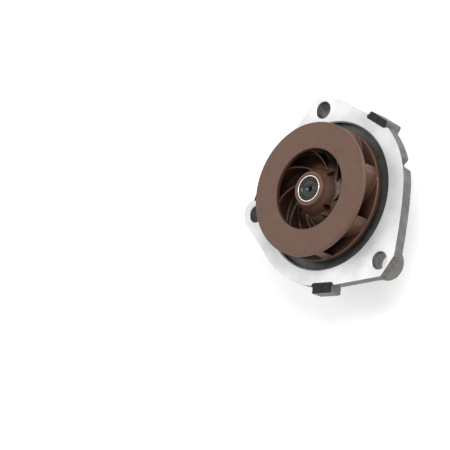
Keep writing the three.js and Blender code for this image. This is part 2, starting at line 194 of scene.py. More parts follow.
def curve(start, control, end, steps=16):
    points = []
    for i in range(steps + 1):
        t = i / steps
        a, b, c = (1 - t) ** 2, 2 * t * (1 - t), t * t
        points.append(tuple(a * start[k] + b * control[k] + c * end[k] for k in (0, 1)))
    return points


def filleted(corners, steps=5):
    """A closed path through (x, y, fillet) corners, each rounded by its fillet radius."""
    path = []
    count = len(corners)
    for i, (x, y, radius) in enumerate(corners):
        here = Vector((x, y))
        before = Vector(corners[i - 1][:2]) - here
        after = Vector(corners[(i + 1) % count][:2]) - here
        if radius <= 0 or before.length < 1e-6 or after.length < 1e-6:
            path.append((x, y))
            continue
        a, b = before.normalized(), after.normalized()
        half = a.angle(b) / 2
        if half > math.radians(88):
            path.append((x, y))
            continue
        reach = min(radius / math.tan(half), before.length * 0.48, after.length * 0.48)
        start, end = here + a * reach, here + b * reach
        for k in range(steps + 1):
            t = k / steps
            p = start * (1 - t) ** 2 + here * 2 * t * (1 - t) + end * t * t
            path.append((p.x, p.y))
    return path


def lathe(name, profile, steps=160):
    """A turned solid from a closed (radius, height) path."""
    verts, faces, rings = [], [], []
    for r, z in profile:
        if r < 1e-6:
            rings.append([len(verts)] * steps)
            verts.append((0, 0, z))
        else:
            rings.append(range(len(verts), len(verts) + steps))
            turns = [2 * math.pi * (k + RING_START) / steps for k in range(steps)]
            verts.extend((r * math.cos(t), r * math.sin(t), z) for t in turns)
    for i, ring in enumerate(rings):
        other = rings[(i + 1) % len(rings)]
        for k in range(steps):
            m = (k + 1) % steps
            face = list(dict.fromkeys((ring[k], ring[m], other[m], other[k])))
            if len(face) > 2:
                faces.append(face)
    return mesh_object(name, verts, faces)


def turned(name, corners, steps=160):
    return lathe(name, filleted(corners), steps)


def prism(name, outline, low, high, edge=0.0):
    """An upright solid from an outline, with its top and bottom edges rounded by edge."""
    count = len(outline)
    inward = []
    for i in range(count):
        ahead = Vector(outline[(i + 1) % count]) - Vector(outline[i - 1])
        inward.append(Vector((-ahead.y, ahead.x)).normalized())
    levels = [(low, 0.0), (high, 0.0)]
    if edge:
        quarter = [math.radians(a) for a in (0, 30, 60, 90)]
        foot = [(low + edge * (1 - math.sin(a)), edge * (1 - math.cos(a))) for a in reversed(quarter)]
        head = [(high - edge * (1 - math.sin(a)), edge * (1 - math.cos(a))) for a in quarter]
        levels = foot + head
    verts = []
    for z, inset in levels:
        verts.extend((x + n.x * inset, y + n.y * inset, z) for (x, y), n in zip(outline, inward))
    faces = [list(range(count)), list(range(len(verts) - count, len(verts)))]
    for j in range(len(levels) - 1):
        for i in range(count):
            k = (i + 1) % count
            faces.append((j * count + i, j * count + k, (j + 1) * count + k, (j + 1) * count + i))
    return mesh_object(name, verts, faces)


def placed(obj, x=0.0, y=0.0, z=0.0, turn=0.0):
    """Turns the mesh about Z, then moves it."""
    move = Matrix.Translation((x * MM, y * MM, z * MM)) @ Matrix.Rotation(math.radians(turn), 4, "Z")
    obj.data.transform(move)
    return obj


def rim_block(place, u, v, z):
    """A block on the rim: u runs outwards, v across."""
    outline = [(u[0], v[0]), (u[1], v[0]), (u[1], v[1]), (u[0], v[1])]
    return placed(prism("block", outline, z[0], z[1]), place.x, place.y, 0, place.facing)


def post(x, y, radius, low, high):
    return placed(lathe("post", [(0, low), (radius, low), (radius, high), (0, high)], 48), x, y)


def applied(obj):
    """Applies the modifiers into the mesh."""
    bpy.context.view_layer.update()
    graph = bpy.context.evaluated_depsgraph_get()
    mesh = bpy.data.meshes.new_from_object(obj.evaluated_get(graph), depsgraph=graph)
    old = obj.data
    obj.modifiers.clear()
    obj.data = mesh
    bpy.data.meshes.remove(old)
    return obj


def combined(obj, operation, others):
    """Adds, cuts or intersects the other solids, one by one, and removes them."""
    for other in others:
        cut = obj.modifiers.new("combine", "BOOLEAN")
        cut.operation = operation
        cut.solver = "MANIFOLD"
        cut.object = other
        applied(obj)
        bpy.data.objects.remove(other)
    return obj


def softened(obj, voxel, rounds):
    """The rounded skin of a casting or moulding: an even remesh, smoothed so that corners fill in."""
    remesh = obj.modifiers.new("skin", "REMESH")
    remesh.mode = "VOXEL"
    remesh.voxel_size = voxel * MM
    smooth = obj.modifiers.new("soften", "SMOOTH")
    smooth.factor = 0.5
    smooth.iterations = rounds
    return applied(obj)


def shaded(obj, angle):
    obj.data.shade_smooth()
    obj.data.set_sharp_from_angle(angle=math.radians(angle))


def finished(obj, body, nodes, materials, angle=32):
    """Shades the piece, gives it its materials, and puts it in place of its CAD nodes."""
    shaded(obj, angle)
    obj.data.materials.clear()
    for material in materials:
        obj.data.materials.append(material)
    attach(obj, body)
    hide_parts(*nodes)


def paint(obj, choose):
    """Gives each face the material index that choose(centre in mm, normal) returns."""
    for face in obj.data.polygons:
        face.material_index = choose(face.center / MM, face.normal)


# ---- materials ----

class Nodes:
    """A material with a Principled shader and short ways to wire it."""

    def __init__(self, name, metallic=0.0, roughness=0.5, specular=0.5, anisotropic=0.0):
        self.material = bpy.data.materials.new(name)
        self.material.use_nodes = True
        self.tree = self.material.node_tree
        self.shader = self.tree.nodes["Principled BSDF"]
        self.shader.inputs["Metallic"].default_value = metallic
        self.shader.inputs["Roughness"].default_value = roughness
        self.shader.inputs["Specular IOR Level"].default_value = specular
        self.shader.inputs["Anisotropic"].default_value = anisotropic
        self.place = self.add("ShaderNodeTexCoord").outputs["Object"]

    def add(self, kind, **settings):
        node = self.tree.nodes.new(kind)
        for key, value in settings.items():
            setattr(node, key, value)
        return node

    def link(self, source, target):
        self.tree.links.new(source, target)

    def noise(self, size, detail=4.0, rough=0.55):
        """Noise whose blotches are about size millimetres across."""
        node = self.add("ShaderNodeTexNoise")
        node.inputs["Scale"].default_value = 1 / (size * MM)
        node.inputs["Detail"].default_value = detail
        node.inputs["Roughness"].default_value = rough
        self.link(self.place, node.inputs["Vector"])
        return node.outputs["Fac"]

    def remap(self, value, low, high, to_low, to_high):
        """The value stretched from low..high to to_low..to_high, and held at the ends."""
        node = self.add("ShaderNodeMapRange")
        for socket, number in zip(node.inputs[1:5], (low, high, to_low, to_high)):
            socket.default_value = number
        self.link(value, node.inputs[0])
        return node.outputs[0]

    def colours(self, value, *stops):
        """A colour ramp through (position, colour) stops."""
        node = self.add("ShaderNodeValToRGB")
        ramp = node.color_ramp
        while len(ramp.elements) < len(stops):
            ramp.elements.new(0.5)
        for element, (position, colour) in zip(ramp.elements, stops):
            element.position = position
            element.color = (*colour, 1)
        self.link(value, node.inputs[0])
        return node.outputs[0]

    def maths(self, operation, a, b):
        node = self.add("ShaderNodeMath", operation=operation)
        for socket, value in zip(node.inputs, (a, b)):
            if isinstance(value, (int, float)):
                socket.default_value = value
            else:
                self.link(value, socket)
        return node.outputs[0]

    def blend(self, amount, a, b, kind="MIX"):
        node = self.add("ShaderNodeMix", data_type="RGBA", blend_type=kind)
        for socket, value in ((node.inputs[0], amount), (node.inputs[6], a), (node.inputs[7], b)):
            if isinstance(value, (int, float)):
                socket.default_value = value
            elif isinstance(value, tuple):
                socket.default_value = (*value, 1)
            else:
                self.link(value, socket)
        return node.outputs[2]

    def radius(self):
        """Distance from the shaft's axis, in millimetres."""
        flat = self.add("ShaderNodeVectorMath", operation="MULTIPLY")
        flat.inputs[1].default_value = (1 / MM, 1 / MM, 0)
        self.link(self.place, flat.inputs[0])
        length = self.add("ShaderNodeVectorMath", operation="LENGTH")
        self.link(flat.outputs[0], length.inputs[0])
        return length.outputs["Value"]

    def height(self):
        """Height above the pulley's outer face, in millimetres."""
        split = self.add("ShaderNodeSeparateXYZ")
        self.link(self.place, split.inputs[0])
        return self.maths("MULTIPLY", split.outputs[2], 1 / MM)

    def tool_marks(self, distance, pitch):
        """Uneven waves along a distance, as a cutter leaves."""
        wander = self.maths("MULTIPLY", self.noise(6, 2), pitch * 0.8)
        phase = self.maths("MULTIPLY", self.maths("ADD", distance, wander), 2 * math.pi / pitch)
        wave = self.maths("SINE", phase, 0.0)
        return self.remap(wave, -1, 1, 0, 1)

    def bump(self, value, depth):
        """A bump of depth millimetres, on top of any earlier one."""
        node = self.add("ShaderNodeBump")
        node.inputs["Strength"].default_value = 1
        node.inputs["Distance"].default_value = depth * MM
        self.link(value, node.inputs["Height"])
        socket = self.shader.inputs["Normal"]
        if socket.links:
            self.link(socket.links[0].from_socket, node.inputs["Normal"])
        self.link(node.outputs[0], socket)

    def colour(self, value):
        self.link(value, self.shader.inputs["Base Color"])

    def rough(self, value):
        self.link(value, self.shader.inputs["Roughness"])


def grey(value, tint=(1, 1, 1)):
    return tuple(value * t for t in tint)


def machined_face():
    """Milled bright, with faint marks round the shaft and soft grey patches of painted reflection."""
    n = Nodes("machined_face", metallic=0.35, anisotropic=0.4)
    around = n.add("ShaderNodeTangent", direction_type="RADIAL", axis="Z")
    n.link(around.outputs[0], n.shader.inputs["Tangent"])
    marks = n.tool_marks(n.radius(), 0.9)
    # Painted reflection: soft grey clouds in the colour stand in for the bright and grey fans that a
    # milled face reflects.
    reflection_patches = n.colours(n.noise(20, 3), (0.32, grey(0.6, (1, 1.005, 1.01))), (0.66, grey(0.84)))
    n.colour(n.blend(0.12, reflection_patches, n.colours(marks, (0.2, grey(0.6)), (0.8, grey(0.86)))))
    n.rough(n.remap(n.noise(9, 5), 0.3, 0.7, 0.36, 0.5))
    n.bump(marks, 0.002)
    n.bump(n.noise(0.5, 4), 0.006)
    return n.material


def turned_aluminium():
    n = Nodes("turned_aluminium", metallic=0.5)
    marks = n.tool_marks(n.maths("ADD", n.radius(), n.height()), 0.45)
    # Painted shade: the colour is kept near black, far darker than bare turned aluminium, so that it
    # stands in for the shade on the recess floor under the impeller.
    n.colour(n.colours(n.noise(7, 4), (0.3, grey(0.075)), (0.75, grey(0.13))))
    n.rough(n.remap(n.noise(3, 4), 0.3, 0.7, 0.38, 0.55))
    n.bump(marks, 0.012)
    return n.material


def cast_aluminium():
    n = Nodes("cast_aluminium", metallic=0.45)
    edges = n.add("ShaderNodeNewGeometry").outputs["Pointiness"]
    dull, bright = grey(0.13, (1, 0.99, 0.97)), grey(0.22, (1, 1, 0.985))
    mottle = n.colours(n.noise(4.5, 6, 0.65), (0.28, dull), (0.72, bright))
    stain = n.colours(n.noise(17, 3), (0.35, grey(0.8, (1, 0.98, 0.94))), (0.65, grey(1)))
    skin = n.blend(1.0, mottle, stain, "MULTIPLY")
    n.colour(n.blend(n.remap(edges, 0.53, 0.62, 0, 0.5), skin, grey(0.5)))
    n.rough(n.remap(n.noise(1.1, 5), 0.3, 0.7, 0.48, 0.72))
    n.bump(n.noise(0.45, 5, 0.6), 0.05)
    n.bump(n.noise(3.2, 3), 0.12)
    return n.material


def dark_casting():
    """Near-black skin on the lugs' fronts."""
    n = Nodes("dark_casting", metallic=0.3, specular=0.35)
    n.colour(n.colours(n.noise(1.6, 5), (0.3, grey(0.01, (1, 0.98, 0.95))), (0.75, grey(0.035))))
    n.rough(n.remap(n.noise(0.8, 4), 0.3, 0.7, 0.45, 0.7))
    n.bump(n.noise(0.4, 5, 0.6), 0.05)
    return n.material


def rough_casting():
    """The speckled brownish skin of the strip that slants down from the mounting face."""
    n = Nodes("rough_casting", metallic=0.35)
    speckle = n.noise(0.9, 6, 0.7)
    n.colour(n.colours(speckle, (0.36, (0.05, 0.045, 0.037)), (0.66, (0.25, 0.235, 0.205))))
    n.rough(n.remap(n.noise(0.7, 4), 0.3, 0.7, 0.5, 0.8))
    n.bump(speckle, 0.12)
    return n.material


def drilled_bore():
    n = Nodes("drilled_bore", metallic=0.8)
    n.colour(n.colours(n.noise(2, 4), (0.3, grey(0.1)), (0.75, grey(0.2))))
    n.rough(n.remap(n.noise(1.2, 3), 0.3, 0.7, 0.35, 0.5))
    n.bump(n.tool_marks(n.height(), 0.35), 0.02)
    return n.material


def brown_plastic(name, edge_highlight, roughness, eye_shade):
    """Glass-filled moulding: painted highlight lightens its edges, and painted shade darkens its
    hollows and the band down inside the eye.
    """
    n = Nodes(name, specular=0.5)
    radius = n.radius()
    edges = n.add("ShaderNodeNewGeometry").outputs["Pointiness"]
    flow = n.colours(n.noise(9, 5, 0.6), (0.25, (0.102, 0.046, 0.026)), (0.75, (0.119, 0.056, 0.034)))
    fibres = n.noise(0.32, 3, 0.7)
    flecked = n.blend(n.remap(fibres, 0.62, 0.75, 0, 0.3), flow, (0.19, 0.11, 0.08))
    # Painted highlight: pointy edges are lightened towards a pale brown, as if light caught them.
    edge_lit = n.blend(n.remap(edges, 0.53, 0.6, 0, edge_highlight), flecked, (0.24, 0.15, 0.11))
    # Painted shade: where ambient occlusion finds the surface hemmed in, the colour runs to near
    # black.
    hollow = n.add("ShaderNodeAmbientOcclusion", samples=12)
    hollow.inputs["Distance"].default_value = 14 * MM
    depth = n.remap(hollow.outputs["AO"], 0.3, 0.85, 0, 1)
    painted_shade = (0.02, 0.006, 0.002)
    # Painted shade: between radius 13 and 24 mm, down in the eye, the colour is darkened towards near
    # black by the amount passed in.
    inside = n.maths("MULTIPLY", n.remap(radius, 13, 15.5, 0, eye_shade), n.remap(radius, 21, 24, 1, 0))
    n.colour(n.blend(inside, n.blend(depth, painted_shade, edge_lit), painted_shade))
    n.rough(n.remap(n.noise(2.2, 5), 0.3, 0.7, roughness, roughness + 0.14))
    n.bump(n.noise(0.35, 4), 0.012)
    n.bump(n.noise(6, 2), 0.05)
    return n.material


def shaft_steel():
    n = Nodes("shaft_steel", metallic=1.0)
    n.colour(n.colours(n.noise(3, 4), (0.3, grey(0.03, (0.98, 1, 1.02))), (0.75, grey(0.065))))
    n.rough(n.remap(n.noise(1.5, 4), 0.3, 0.7, 0.24, 0.38))
    n.bump(n.tool_marks(n.radius(), 0.5), 0.02)
    n.bump(n.tool_marks(n.height(), 0.4), 0.005)
    return n.material


def insert_metal():
    n = Nodes("insert_metal", metallic=1.0)
    n.colour(n.colours(n.noise(1.5, 3), (0.3, (0.62, 0.56, 0.48)), (0.75, (0.86, 0.8, 0.72))))
    n.rough(n.remap(n.noise(0.8, 3), 0.3, 0.7, 0.2, 0.34))
    n.bump(n.tool_marks(n.radius(), 0.2), 0.006)
    return n.material


def sintered_steel():
    n = Nodes("sintered_steel", metallic=0.75)
    edges = n.add("ShaderNodeNewGeometry").outputs["Pointiness"]
    grains = n.colours(n.noise(0.7, 6, 0.7), (0.3, grey(0.15, (1, 0.98, 0.95))), (0.7, grey(0.27)))
    oil = n.colours(n.noise(14, 3), (0.35, grey(0.75, (1, 0.97, 0.9))), (0.65, grey(1)))
    skin = n.blend(1.0, grains, oil, "MULTIPLY")
    n.colour(n.blend(n.remap(edges, 0.54, 0.64, 0, 0.6), skin, grey(0.5)))
    n.rough(n.remap(n.noise(1.3, 5), 0.3, 0.7, 0.4, 0.62))
    n.bump(n.noise(0.3, 5, 0.7), 0.03)
    return n.material


def bearing_steel():
    n = Nodes("bearing_steel", metallic=1.0)
    n.colour(n.colours(n.noise(5, 3), (0.3, grey(0.5)), (0.75, grey(0.66))))
    n.rough(n.remap(n.noise(1.2, 4), 0.3, 0.7, 0.12, 0.24))
    n.bump(n.tool_marks(n.height(), 0.18), 0.002)
    return n.material


def stainless():
    n = Nodes("stainless", metallic=1.0)
    n.colour(n.colours(n.noise(4, 3), (0.3, (0.5, 0.49, 0.47)), (0.75, (0.7, 0.69, 0.67))))
    n.rough(n.remap(n.noise(1, 4), 0.3, 0.7, 0.2, 0.36))
    n.bump(n.noise(0.8, 3), 0.01)
    return n.material


def black_rubber():
    n = Nodes("black_rubber", specular=0.35)
    n.colour(n.colours(n.noise(1.2, 5), (0.3, grey(0.012)), (0.75, grey(0.03))))
    n.rough(n.remap(n.noise(0.6, 4), 0.3, 0.7, 0.6, 0.85))
    n.bump(n.noise(0.25, 4), 0.02)
    return n.material


def carbon():
    n = Nodes("carbon", metallic=0.1)
    n.colour(n.colours(n.noise(0.8, 5), (0.3, grey(0.02)), (0.75, grey(0.05))))
    n.rough(n.remap(n.noise(0.5, 4), 0.3, 0.7, 0.3, 0.5))
    n.bump(n.tool_marks(n.radius(), 0.12), 0.003)
    return n.material


def ceramic():
    n = Nodes("ceramic")
    n.colour(n.colours(n.noise(2, 5), (0.3, (0.6, 0.57, 0.5)), (0.75, (0.75, 0.73, 0.67))))
    n.rough(n.remap(n.noise(1, 4), 0.3, 0.7, 0.22, 0.4))
    n.bump(n.noise(0.4, 3), 0.006)
    return n.material


def nylon():
    n = Nodes("nylon", specular=0.4)
    n.colour(n.colours(n.noise(1.5, 5), (0.3, (0.06, 0.085, 0.05)), (0.75, (0.1, 0.13, 0.08))))
    n.rough(n.remap(n.noise(0.9, 4), 0.3, 0.7, 0.4, 0.6))
    n.bump(n.noise(0.35, 4), 0.02)
    return n.material


# ---- housing ----

def flange_outline():
    """The mounting face: three ears joined by arcs round the recess, with a step at each lug."""
    path = [(4.6, 53.1, 5.5), (28.4, 35.7, 0.6), (28.4, 33.2, 0.6), (37.0, 26.0, 0.6)]
    path += [(x, y, 0) for x, y in arc(1, -0.5, 46.8, 34.2, -4)]
    path += [(x, y, 0) for x, y in curve((47.7, -3.8), (46.3, -18), (39.8, -40.5))[1:-1]]
    path += [(39.8, -40.5, 1.2), (30.8, -49.4, 1.2), (2.2, -47.5, 0.8)]
    path += [(1.6, -45.6, 0.6), (-9.4, -43.8, 0.6)]
    path += [(x, y, 0) for x, y in arc(0, 0, 46.4, 257.4, 205)]
    path += [(-54.2, -1.2, 4.5), (-54.2, 5.2, 4), (-50.3, 9.4, 3)]
    path += [(-45.6, 8.6, 0.6), (-44.4, 7.6, 0.6), (-39, 17, 0.6)]
    path += [(x, y, 0) for x, y in arc(0, 0, 45.3, 155.6, 112)]
    path += [(-4.6, 53.1, 5.5)]
    return filleted(path, 8)


def casting_back():
    """The bowl behind the recess, with the bearing neck."""
    return turned("bowl", [
        (0, NECK_END_Z, 0),
        (NECK_R, NECK_END_Z, 0.9),
        (NECK_R, BACK_Z, 3),
        (40.4, BACK_Z, 1),
        (41.4, BACK_Z + 1.5, 0),
        (0, BACK_Z + 1.5, 0),
    ])


def lug(place):
    half = place.length / 2
    return rim_block(place, (-2.4, place.reach), (-half, half), (LUG_TOP - place.depth, LUG_TOP))


def lug_step(place):
    """What is cut from the plate over a lug's front."""
    half = place.length / 2
    return rim_block(place, (0, place.reach + 3), (-half, half), (LUG_TOP, FACE_Z + 3))


def lug_ridge(place):
    """The parting-line ridge across a lug's front."""
    return rim_block(place, (-0.4, place.reach - 0.3), (-0.3, 0.3), (LUG_TOP - 1.2, LUG_TOP + 0.3))


def ear_boss(ear):
    low, high = FACE_Z - ear.depth, FACE_Z - ear.shoulder
    boss = turned("boss", [
        (0, low, 0),
        (ear.radius, low, 1.2),
        (ear.radius, high, 1),
        (ear.radius - 2.2, high + 2, 0),
        (0, high + 2, 0),
    ], 64)
    return placed(boss, ear.x, ear.y)


def slab(name, outline, width):
    """An upright plate from a [distance, height] outline."""
    plate = prism(name, outline, -width / 2, width / 2)
    plate.data.transform(Matrix.Rotation(math.radians(90), 4, "X"))
    return plate


def ear_facet():
    """The slanted strip between the mounting face and the third ear's boss."""
    low, size = FACE_Z - PLATE + 0.4, FACET.size
    edge = [(-1, low), (size, low), (size, FACE_Z - size), (0, FACE_Z), (-1, FACE_Z)]
    return placed(slab("facet", edge, FACET.width), FACET.x, FACET.y, turn=FACET.facing)


def back_rib(angle):
    foot = BACK_Z + 1
    outline = [(30, foot), (30, BACK_Z - 0.6), (32, BACK_Z - 3), (40, BACK_Z - 2), (43, foot)]
    return placed(slab("rib", outline, 3), turn=angle)


def housing_bore():
    clear = BEARING_R + GAP
    return lathe("bore", [
        (0, NECK_END_Z - 2),
        (clear + 0.8, NECK_END_Z - 2),
        (clear + 0.8, NECK_END_Z),
        (clear, NECK_END_Z + 0.8),
        (clear, BEARING_TOP + GAP),
        (SEAL_STOP_R, BEARING_TOP + GAP),
        (SEAL_STOP_R, SEAL_BORE_Z),
        (SEAL_BORE_R, SEAL_BORE_Z),
        (SEAL_BORE_R, RECESS_Z),
        (RECESS_R, RECESS_Z),
        (RECESS_R, FACE_Z - RECESS_CHAMFER),
        (RECESS_R + RECESS_CHAMFER + 3, FACE_Z + 3),
        (0, FACE_Z + 3),
    ], 224)


def weep_hole():
    hole = lathe("weep", [(0, -6), (WEEP_R, -6), (WEEP_R, 6), (0, 6)], 32)
    hole.data.transform(Matrix.Rotation(math.radians(30), 4, "X"))
    return placed(hole, 0, -16.6, BEARING_TOP - 1)


def bolt_hole(ear):
    """A drill with a countersink for the hole's edge."""
    low = FACE_Z - ear.depth - 3
    hole = lathe("hole", [
        (0, low),
        (BOLT_HOLE_R, low),
        (BOLT_HOLE_R, FACE_Z - 0.35),
        (BOLT_HOLE_R + 1.4, FACE_Z + 1.05),
        (0, FACE_Z + 1.05),
    ], 64)
    return placed(hole, ear.x, ear.y)


def spot_face(ear):
    low = FACE_Z - ear.depth
    return post(ear.x, ear.y, SPOT_R, low - 1, low + SPOT_DEPTH)


def machining():
    """Everything cut after casting: the mounting face, the stepped bore and the bolt holes."""
    face = prism("above", [(-90, -90), (90, -90), (90, 90), (-90, 90)], FACE_Z, FACE_Z + 9)
    return [face, housing_bore(), weep_hole(), *(bolt_hole(ear) for ear in EARS), spot_face(EARS[2])]


ZONES = ("cast", "face", "turned", "drilled", "dark", "rough")
AS_CAST, FACE, TURNED, DRILLED, DARK, ROUGH = range(len(ZONES))


def rim_place(centre, place):
    """How far out from a rim feature a point lies, and how far along the rim."""
    out = Vector((math.cos(math.radians(place.facing)), math.sin(math.radians(place.facing))))
    away = Vector((centre.x - place.x, centre.y - place.y))
    return away.dot(out), abs(away.x * -out.y + away.y * out.x)


def on_lug_front(centre, normal):
    """Whether a point is on a lug's front or on the step between it and the mounting face."""
    for place in LUGS:
        out, along = rim_place(centre, place)
        near = along < place.length / 2 + 0.1 and out > -0.6 and centre.z > LUG_TOP - 0.6
        if near and (out > 0 or normal.z < 0.9) and (normal.z > 0.3 or centre.z > LUG_TOP - 0.2):
            return True
    return False


def on_facet(centre):
    out, along = rim_place(centre, FACET)
    return out > -0.3 and along < FACET.width / 2 and centre.z > FACE_Z - FACET.size - 0.5


def housing_zone(centre, normal):
    """Which of ZONES a face of the housing belongs to."""
    radius = math.hypot(centre.x, centre.y)
    if centre.z > FACE_Z - 0.05 and normal.z > 0.9:
        return FACE
    if SEAL_BORE_R - 3 < radius < RECESS_R + 0.9 and centre.z > SEAL_BORE_Z - 2:
        if centre.z > RECESS_Z - 0.1 or radius < NECK_R:
            return FACE if centre.z > FACE_Z - 0.7 and normal.z > 0.5 else TURNED
    if radius < BEARING_R + 1.2:
        return TURNED
    for ear in EARS:
        if math.hypot(centre.x - ear.x, centre.y - ear.y) < BOLT_HOLE_R + 0.45:
            return FACE if normal.z > 0.5 and centre.z > FACE_Z - 0.5 else DRILLED
    if on_lug_front(centre, normal):
        return DARK
    return ROUGH if on_facet(centre) else AS_CAST


def build_housing(looks):
    body = prism("housing_casting", flange_outline(), FACE_Z - PLATE, FACE_Z + 2)
    combined(body, "DIFFERENCE", [lug_step(place) for place in LUGS])
    grown = [casting_back(), *(ear_boss(ear) for ear in EARS), *(lug(place) for place in LUGS)]
    grown += [ear_facet(), *(back_rib(angle) for angle in RIB_TURNS)]
    combined(body, "UNION", grown)
    notch = prism("notch", [(43.4, 6.2), (50, 0.2), (50, 10.2)], BACK_Z - 3, FACE_Z - 0.7)
    combined(body, "DIFFERENCE", [notch])
    softened(body, 0.5, 5)
    combined(body, "UNION", [lug_ridge(place) for place in LUGS])
    combined(body, "DIFFERENCE", machining())
    finished(body, "housing", ["pump_housing"], [looks[name] for name in ZONES], 28)
    paint(body, housing_zone)


# ---- impeller ----

def impeller_disc():
    """Disc and hub turned in one, with the seal ring's pocket behind."""
    back = FACE_Z
    return turned("impeller_body", [
        (INSERT_R + 0.2, back + 4.1, 0),
        (SEAL_POCKET_R, back + 4.1, 0),
        (SEAL_POCKET_R, back, 0.4),
        (IMPELLER_R, back, 0.5),
        (IMPELLER_R, back + BACKPLATE, 0.5),
        (19, back + 3.1, 6),
        (12.4, back + 7.6, 4),
        (9.6, back + 12.2, 3),
        (8.7, RIM_Z, 0.5),
        (INSERT_R + 0.2, RIM_Z, 0),
    ], 192)


def blade_slope(r):
    """Blade angle from the tangent: it steepens where the blade passes under the eye's edge."""
    share = min(max((21.5 - r) / 2.5, 0), 1)
    return math.radians(BLADE_SLOPE + (BLADE_EYE_SLOPE - BLADE_SLOPE) * share)


def blade_outline():
    """A spiral followed inwards from the rim, where it is thickest."""
    outer, inner, steps = IMPELLER_R - 0.15, 12.4, 36
    left, right, turn = [], [], math.radians(BLADE_END_TURN)
    for i in range(steps + 1):
        r = outer + (inner - outer) * i / steps
        half = (BLADE_THICK + (BLADE_THIN - BLADE_THICK) * min(1, 1.5 * i / steps)) / 2
        across = half / math.sin(blade_slope(r)) / r
        left.append((r * math.cos(turn + across), r * math.sin(turn + across)))
        right.append((r * math.cos(turn - across), r * math.sin(turn - across)))
        after = r + (inner - outer) / steps
        turn -= math.log(r / after) / math.tan(blade_slope((r + after) / 2))
    return right + left[::-1]


def blade_space():
    """Under the shroud outside the eye, sloping down to the hub within it."""
    top = RIM_Z - SHROUD - GAP
    return lathe("space", [
        (12, FACE_Z + 5.4),
        (16, FACE_Z + 1.4),
        (IMPELLER_R - 0.1, FACE_Z + 1.4),
        (IMPELLER_R - 0.1, top),
        (24, top),
        (20.4, top - 1.1),
        (13.6, FACE_Z + 8.2),
        (12, FACE_Z + 7.6),
    ], 192)


def build_impeller(looks):
    """Hub, disc and blades: one moulding, which stands for two solids of the frame."""
    moulding = impeller_disc()
    blades = []
    for i in range(BLADES):
        blade = placed(prism("blade", blade_outline(), FACE_Z + 1, RIM_Z), turn=360 / BLADES * i)
        blades.append(combined(blade, "INTERSECT", [blade_space()]))
    combined(moulding, "UNION", blades)
    softened(moulding, 0.3, 2)
    pockets = []
    for i in range(POCKETS):
        turn = math.radians(POCKET_TURN + 360 / POCKETS * i)
        x, y = POCKET_RING_R * math.cos(turn), POCKET_RING_R * math.sin(turn)
        pockets.append(post(x, y, POCKET_R, FACE_Z + 6, RIM_Z))
    combined(moulding, "DIFFERENCE", pockets)
    finished(moulding, "rotor", ["impeller", "impeller_hub"], [looks["blades"]])


def build_shroud(looks):
    under = RIM_Z - SHROUD
    shroud = turned("shroud_plate", [
        (EYE_R, RIM_Z, 0.5),
        (EYE_R, under - 0.5, 0.8),
        (22, under - 0.9, 0.8),
        (24, under, 1),
        (IMPELLER_R, under, 0.4),
        (IMPELLER_R, RIM_Z, 0.7),
    ], 224)
    finished(shroud, "rotor", ["impeller_shroud"], [looks["plastic"]])


def build_insert(looks):
    insert = turned("hub_insert", [
        (NOSE_R + 0.2, FACE_Z + 4.3, 0.1),
        (INSERT_R, FACE_Z + 4.3, 0.1),
        (INSERT_R, RIM_Z, 0.25),
        (NOSE_R + 0.2, RIM_Z, 0.25),
    ], 96)
    finished(insert, "rotor", ["impeller_insert"], [looks["insert"]])


# ---- pulley ----

def tooth_outline():
    """Round-bottomed tooth spaces with flanks that lean outwards."""
    root, per_tooth = PULLEY_R - TOOTH_DEPTH, 28
    points = []
    for i in range(TEETH * per_tooth):
        turn = 360 / (TEETH * per_tooth) * i
        off = abs((turn % (360 / TEETH)) - 180 / TEETH)
        rise = min(max((off - 1.8) / 4.4, 0), 1)
        r = root + TOOTH_DEPTH * (0.5 - 0.5 * math.cos(math.pi * rise))
        angle = math.radians(turn)
        points.append((r * math.cos(angle), r * math.sin(angle)))
    return points


def pulley_hollow():
    return turned("hollow", [
        (0, WEB, 0),
        (CUP_R, WEB, 1.4),
        (CUP_R, PULLEY_WIDTH - 0.7, 0),
        (CUP_R + 2.7, PULLEY_WIDTH + 2, 0),
        (0, PULLEY_WIDTH + 2, 0),
    ])


def pulley_hub():
    return turned("boss", [
        (0, WEB - 1, 0),
        (PULLEY_HUB_R + 1.2, WEB - 1, 0),
        (PULLEY_HUB_R, WEB + 1, 1),
        (PULLEY_HUB_R, PULLEY_HUB, 0.7),
        (0, PULLEY_HUB, 0),
    ])


def pulley_bore():
    fit, top = SHAFT_R + 0.2, PULLEY_HUB + 1
    return lathe("bore", [(0, -2), (fit + 2.7, -2), (fit, 0.7), (fit, top), (0, top)])


def web_hole(turn):
    r, top = WEB_HOLE_R, WEB + 2
    hole = lathe("hole", [(0, -2), (r + 2.5, -2), (r, 0.5), (r, top), (0, top)], 64)
    return placed(hole, WEB_HOLE_RING_R * math.cos(turn), WEB_HOLE_RING_R * math.sin(turn))


def build_pulley(looks):
    pulley = prism("pulley_wheel", tooth_outline(), 0, PULLEY_WIDTH, 0.5)
    hollow, boss, bore = pulley_hollow(), pulley_hub(), pulley_bore()
    holes = [web_hole(math.radians(90 + 360 / WEB_HOLES * i)) for i in range(WEB_HOLES)]
    dish = lathe("dish", [(13.2, -2), (20.6, -2), (19.6, 0.7), (14.2, 0.7)])
    combined(pulley, "DIFFERENCE", [hollow])
    combined(pulley, "UNION", [boss])
    combined(pulley, "DIFFERENCE", [bore, *holes, dish])
    finished(pulley, "rotor", ["toothed_pulley"], [looks["sintered"]])


# ---- shaft, bearing and seal ----

def raceway(row_z, start, end):
    """A groove for one row of balls, from one shoulder to the other."""
    return [(r, z, 0) for r, z in arc(PITCH_R, row_z, BALL_R + 0.25, start, end, 14)]


